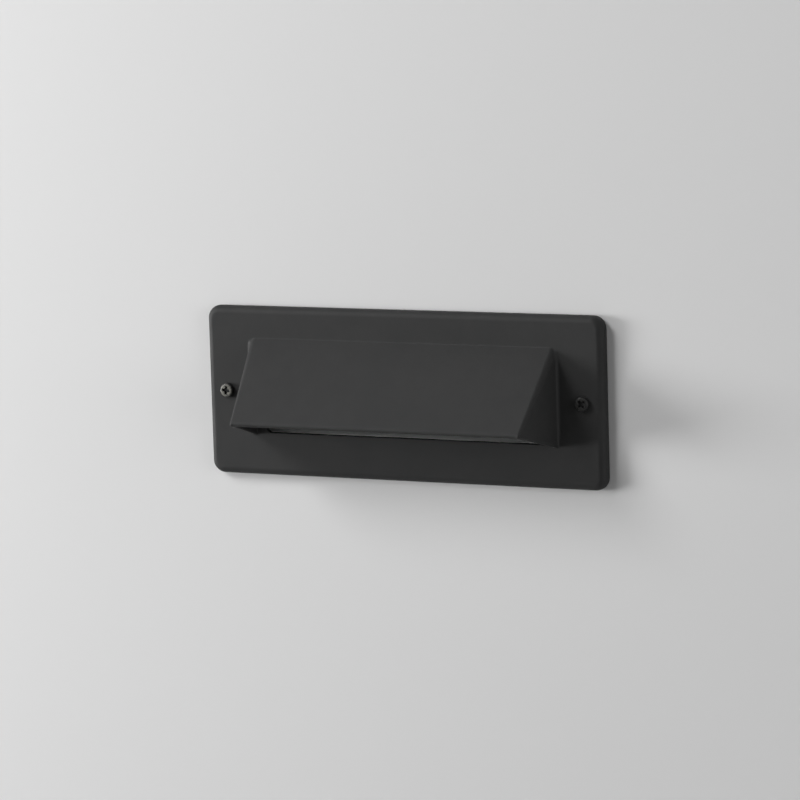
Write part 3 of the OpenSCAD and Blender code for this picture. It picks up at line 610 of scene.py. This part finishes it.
def frosted_glass():
    """Dark sandblasted glass with painted light and shade: a pale lit band along its foot,
    brightest at the left, under the painted shadow of the hood's lip.
    """
    material, shader = new_material("frosted_glass", DARK_GLASS, 0.42)
    shader.inputs["IOR"].default_value = GLASS_IOR
    split = split_place(material)
    # low is 1 on the pale lit band at the glass's foot and 0 in the painted shadow of the hood's
    # lip above it; left makes that painted light fade towards the right
    low = remap(material, split.outputs["Z"], *LIP_SHADOW_EDGE, 1, 0)
    left = remap(material, split.outputs["X"], *LIT_FOOT_SIDE, 1, 0.3)
    # dust is painted light: where it is 1 the glass is pale, hardly see-through and glossier
    dust = times(material, low, left)
    wire(material, mix_color(material, dust, DARK_GLASS, LIT_FOOT_COLOR), shader.inputs["Base Color"])
    wire(material, remap(material, low, 0, 1, 0.85, 0.1), shader.inputs["Transmission Weight"])
    wire(material, remap(material, dust, 0, 1, 0.25, 0.9), shader.inputs["Specular IOR Level"])
    uneven_gloss(material, shader, 0.36, 0.48, 90.0)
    bump(material, shader, noise(material, 3800.0, 2.0), 0.25, 0.00006)
    return material


def spring_steel():
    """Rolled stainless strip with streaks along its length."""
    material, shader = new_material("spring_steel", (0.45, 0.46, 0.48), 0.3, 1.0)
    cloudy(material, shader, (0.38, 0.39, 0.41), (0.5, 0.51, 0.53), 400.0, (0.1, 1, 1))
    uneven_gloss(material, shader, 0.22, 0.4, 700.0, (0.06, 1, 1))
    bump(material, shader, noise(material, 1800.0, 2.0, (0.05, 1, 1)), 0.12, 0.00008)
    return material


def screw_steel():
    """Zinc plate with a faint iridescent stain."""
    material, shader = new_material("screw_steel", (0.5, 0.5, 0.52), 0.34, 1.0)
    cloudy(material, shader, (0.47, 0.48, 0.53), (0.55, 0.53, 0.46), 500.0)
    uneven_gloss(material, shader, 0.26, 0.42, 900.0)
    bump(material, shader, noise(material, 3000.0), 0.1, 0.00006)
    return material


def plated_steel():
    """Zinc-plated sheet with rolling marks."""
    material, shader = new_material("plated_steel", (0.6, 0.61, 0.62), 0.36, 1.0)
    cloudy(material, shader, (0.52, 0.53, 0.55), (0.63, 0.64, 0.64), 180.0, (1, 1, 0.15))
    uneven_gloss(material, shader, 0.28, 0.45, 350.0, (1, 1, 0.1))
    bump(material, shader, noise(material, 1500.0, 2.0, (1, 1, 0.05)), 0.1, 0.00008)
    return material


def nylon():
    """Natural nylon, slightly translucent."""
    material, shader = new_material("nylon", (0.75, 0.74, 0.7), 0.4)
    shader.inputs["Subsurface Weight"].default_value = 0.25
    shader.inputs["Subsurface Radius"].default_value = (0.001, 0.001, 0.001)
    cloudy(material, shader, (0.7, 0.69, 0.64), (0.78, 0.77, 0.73), 300.0)
    bump(material, shader, noise(material, 1600.0), 0.08, 0.0001)
    return material


def box_plastic():
    """Black moulded composite with the fine spark texture of its mould and a few dusty scuffs."""
    material, shader = new_material("box_plastic", (0.022, 0.022, 0.024), 0.5)
    base = cloudy(material, shader, (0.019, 0.019, 0.021), (0.026, 0.026, 0.028), 60.0)
    scuffs = remap(material, noise(material, 130.0, 6.0, (1, 0.3, 1)), 0.62, 0.75, 0, 0.5)
    color = mix_color(material, scuffs, base, (0.06, 0.058, 0.055))
    wire(material, color, shader.inputs["Base Color"])
    uneven_gloss(material, shader, 0.42, 0.6, 200.0)
    grain = bump(material, shader, noise(material, 1700.0, 3.0), 0.22, 0.00018)
    bump(material, shader, noise(material, 60.0, 1.0), 0.05, 0.001, grain)
    return material


def plug_plastic():
    """Moulded plastic, a little glossier than the box."""
    material, shader = new_material("plug_plastic", (0.026, 0.026, 0.028), 0.4)
    cloudy(material, shader, (0.023, 0.023, 0.025), (0.032, 0.032, 0.034), 90.0)
    uneven_gloss(material, shader, 0.32, 0.46, 240.0)
    bump(material, shader, noise(material, 2100.0), 0.12, 0.0001)
    return material


def brass():
    """Turned brass with a light tarnish."""
    material, shader = new_material("brass", (0.6, 0.42, 0.17), 0.32, 1.0)
    cloudy(material, shader, (0.42, 0.28, 0.11), (0.65, 0.47, 0.2), 420.0)
    uneven_gloss(material, shader, 0.24, 0.45, 700.0, (1, 0.1, 1))
    bump(material, shader, noise(material, 2600.0, 2.0, (1, 0.06, 1)), 0.12, 0.00006)
    return material


def bronze():
    """Phosphor bronze strip."""
    material, shader = new_material("bronze", (0.55, 0.36, 0.18), 0.3, 1.0)
    cloudy(material, shader, (0.46, 0.29, 0.14), (0.6, 0.41, 0.22), 500.0, (0.1, 1, 1))
    uneven_gloss(material, shader, 0.22, 0.38, 900.0, (0.08, 1, 1))
    return material


def white_enamel():
    """Baked white enamel with a soft orange peel."""
    material, shader = new_material("white_enamel", (0.82, 0.82, 0.79), 0.3)
    cloudy(material, shader, (0.79, 0.79, 0.755), (0.84, 0.84, 0.815), 40.0)
    uneven_gloss(material, shader, 0.22, 0.36, 120.0)
    bump(material, shader, noise(material, 350.0, 2.0), 0.08, 0.0004)
    return material


def socket_ceramic():
    """Unglazed white ceramic: dusty, with fine pits."""
    material, shader = new_material("socket_ceramic", (0.74, 0.72, 0.66), 0.75)
    cloudy(material, shader, (0.69, 0.665, 0.6), (0.78, 0.765, 0.71), 200.0)
    pits = remap(material, cells(material, 1500.0).outputs["Distance"], 0.0, 0.25, 0, 1)
    bump(material, shader, pits, 0.25, 0.0001)
    return material


def lamp_glass():
    """Inside-frosted lamp glass: pale and only a little see-through."""
    material, shader = new_material("lamp_glass", (0.9, 0.9, 0.88), 0.25)
    shader.inputs["Transmission Weight"].default_value = 0.3
    shader.inputs["IOR"].default_value = GLASS_IOR
    shader.inputs["Coat Weight"].default_value = 0.5
    shader.inputs["Coat Roughness"].default_value = 0.05
    cloudy(material, shader, (0.86, 0.86, 0.83), (0.93, 0.93, 0.91), 150.0)
    uneven_gloss(material, shader, 0.2, 0.32, 200.0)
    return material


def lead_insulation():
    """Black silicone insulation, matt with a dry bloom."""
    material, shader = new_material("lead_insulation", (0.015, 0.015, 0.016), 0.55)
    cloudy(material, shader, (0.012, 0.012, 0.013), (0.022, 0.022, 0.023), 220.0)
    bump(material, shader, noise(material, 1400.0), 0.15, 0.0001)
    return material


def connector_plastic():
    """Blue moulded plastic."""
    material, shader = new_material("connector_plastic", (0.02, 0.07, 0.3), 0.35)
    cloudy(material, shader, (0.017, 0.06, 0.27), (0.026, 0.085, 0.34), 200.0)
    uneven_gloss(material, shader, 0.28, 0.42, 400.0)
    bump(material, shader, noise(material, 1900.0), 0.08, 0.0001)
    return material


FINISHES = {
    "powder_coat": powder_coat, "face_screw_steel": face_screw_steel, "black_foam": black_foam,
    "silicone": silicone, "frosted_glass": frosted_glass, "spring_steel": spring_steel,
    "screw_steel": screw_steel, "plated_steel": plated_steel, "nylon": nylon,
    "box_plastic": box_plastic, "plug_plastic": plug_plastic, "brass": brass, "bronze": bronze,
    "white_enamel": white_enamel, "socket_ceramic": socket_ceramic, "lamp_glass": lamp_glass,
    "lead_insulation": lead_insulation, "connector_plastic": connector_plastic,
}


def soften_edges(obj, width):
    """Rounds the CAD node's real edges and leaves its curved faces alone."""
    bevel = obj.modifiers.new("edges", "BEVEL")
    bevel.width = width * MM
    bevel.segments = 2
    bevel.limit_method = "ANGLE"
    bevel.angle_limit = EDGE_ANGLE
    bevel.harden_normals = True


def dress_nodes(finishes):
    """Gives each CAD node its finish, and the hard pieces a small edge radius."""
    for part in frame["record"]["subparts"]:
        obj = frame["nodes"][part["node"]]
        obj.data.materials.clear()
        obj.data.materials.append(finishes[part["material_slot"]])
        if part["node"] in EDGE_WIDTHS:
            soften_edges(obj, EDGE_WIDTHS[part["node"]])


# Stage and light

def seen_or_mirrored(material):
    """1 for rays from the camera, off a glossy surface or through glass, else 0."""
    path = node(material, "ShaderNodeLightPath")
    seen = path.outputs["Is Camera Ray"]
    for ray in ("Is Glossy Ray", "Is Transmission Ray"):
        either = node(material, "ShaderNodeMath", operation="MAXIMUM")
        wire(material, seen, either.inputs[0])
        wire(material, path.outputs[ray], either.inputs[1])
        seen = either.outputs[0]
    return seen


def stage_material(name, color, glow):
    """Pale and plain from the front, with some glow if seen; from behind it isn't there."""
    material, shader = new_material(name, color, 0.9)
    shader.inputs["Specular IOR Level"].default_value = 0.1
    shader.inputs["Emission Color"].default_value = (1, 1, 1, 1)
    seen_glow = remap(material, seen_or_mirrored(material), 0, 1, 0, glow)
    wire(material, seen_glow, shader.inputs["Emission Strength"])
    clear = node(material, "ShaderNodeBsdfTransparent")
    side = node(material, "ShaderNodeNewGeometry")
    mixed = node(material, "ShaderNodeMixShader")
    wire(material, side.outputs["Backfacing"], mixed.inputs[0])
    wire(material, shader.outputs["BSDF"], mixed.inputs[1])
    wire(material, clear.outputs["BSDF"], mixed.inputs[2])
    output = material.node_tree.nodes["Material Output"]
    wire(material, mixed.outputs["Shader"], output.inputs["Surface"])
    return material


def flat_mesh(name, points, faces, material):
    mesh = bpy.data.meshes.new(name)
    mesh.from_pydata(points, [], faces)
    mesh.materials.append(material)
    return link(bpy.data.objects.new(name, mesh))


def make_stage():
    """A pale wall with an opening behind the faceplate, and a pale floor well below."""
    w, a, b, y = WALL_HALF, HOLE_HALF_W, HOLE_HALF_H, WALL_BEHIND
    outer = [(-w, y, -w), (w, y, -w), (w, y, w), (-w, y, w)]
    inner = [(-a, y, -b), (a, y, -b), (a, y, b), (-a, y, b)]
    ring = [(k, (k + 1) % 4, 4 + (k + 1) % 4, 4 + k) for k in range(4)]
    wall_paint = stage_material("wall_paint", WALL_COLOR, WALL_GLOW)
    wall = flat_mesh("wall", outer + inner, ring, wall_paint)
    f, z = FLOOR_HALF, FLOOR_Z
    corners = [(-f, -f, z), (f, -f, z), (f, f, z), (-f, f, z)]
    floor_paint = stage_material("floor_paint", FLOOR_COLOR, FLOOR_GLOW)
    floor = flat_mesh("floor", corners, [(0, 1, 2, 3)], floor_paint)


def place(obj, right, up, back, at):
    """Turns the object so that its X, Y and Z run along right, up and back, and moves it."""
    matrix = Matrix.Identity(4)
    for row in range(3):
        matrix[row] = right[row], up[row], back[row], at[row]
    obj.matrix_world = matrix


def make_light(name, azimuth, elevation, size, power):
    """A round soft light in the given direction, turned to the origin."""
    data = bpy.data.lights.new(name, "AREA")
    data.shape = "DISK"
    data.size = size
    data.energy = power
    a, e = math.radians(azimuth), math.radians(elevation)
    back = np.array((math.sin(a) * math.cos(e), -math.cos(a) * math.cos(e), math.sin(e)))
    right = np.cross((0, 0, 1), back)
    right /= np.linalg.norm(right)
    place(link(bpy.data.objects.new(name, data)), right, np.cross(back, right), back,
          LIGHT_DISTANCE * back)


def make_world():
    """Dim as a light, pale where the camera, a glossy surface or glass sees it."""
    world = bpy.data.worlds.new("sky")
    bpy.context.scene.world = world
    world.use_nodes = True
    background = world.node_tree.nodes["Background"]
    background.inputs["Color"].default_value = (1, 1, 1, 1)
    strength = remap(world, seen_or_mirrored(world), 0, 1, SKY_LIGHT, SKY_SEEN)
    wire(world, strength, background.inputs["Strength"])


def make_camera():
    cam = link(bpy.data.objects.new("camera", bpy.data.cameras.new("camera")))
    cam.data.sensor_width = SENSOR_W
    cam.data.lens = LENS
    cam.data.clip_end = VIEW_END
    yaw, pitch, roll = CAMERA_YAW, CAMERA_PITCH, CAMERA_ROLL
    right = np.array([math.cos(yaw), math.sin(yaw), 0.0])
    ahead = np.array([-math.sin(yaw) * math.cos(pitch), math.cos(yaw) * math.cos(pitch),
                      -math.sin(pitch)])
    up = np.cross(right, ahead)
    tilted_right = right * math.cos(roll) - up * math.sin(roll)
    tilted_up = up * math.cos(roll) + right * math.sin(roll)
    place(cam, tilted_right, tilted_up, -ahead, np.array(CAMERA_AIM) - CAMERA_DISTANCE * ahead)
    bpy.context.scene.camera = cam


def main():
    make_camera()
    finishes = {name: make() for name, make in FINISHES.items()}
    make_faceplate(finishes["powder_coat"])
    for side in ("left", "right"):
        make_face_screw(side, finishes["face_screw_steel"])
    make_hub_thread(finishes["box_plastic"])
    dress_nodes(finishes)
    make_stage()
    for name, values in LIGHTS.items():
        make_light(name, *values)
    make_world()
    bpy.context.scene.view_settings.view_transform = "Standard"


main()
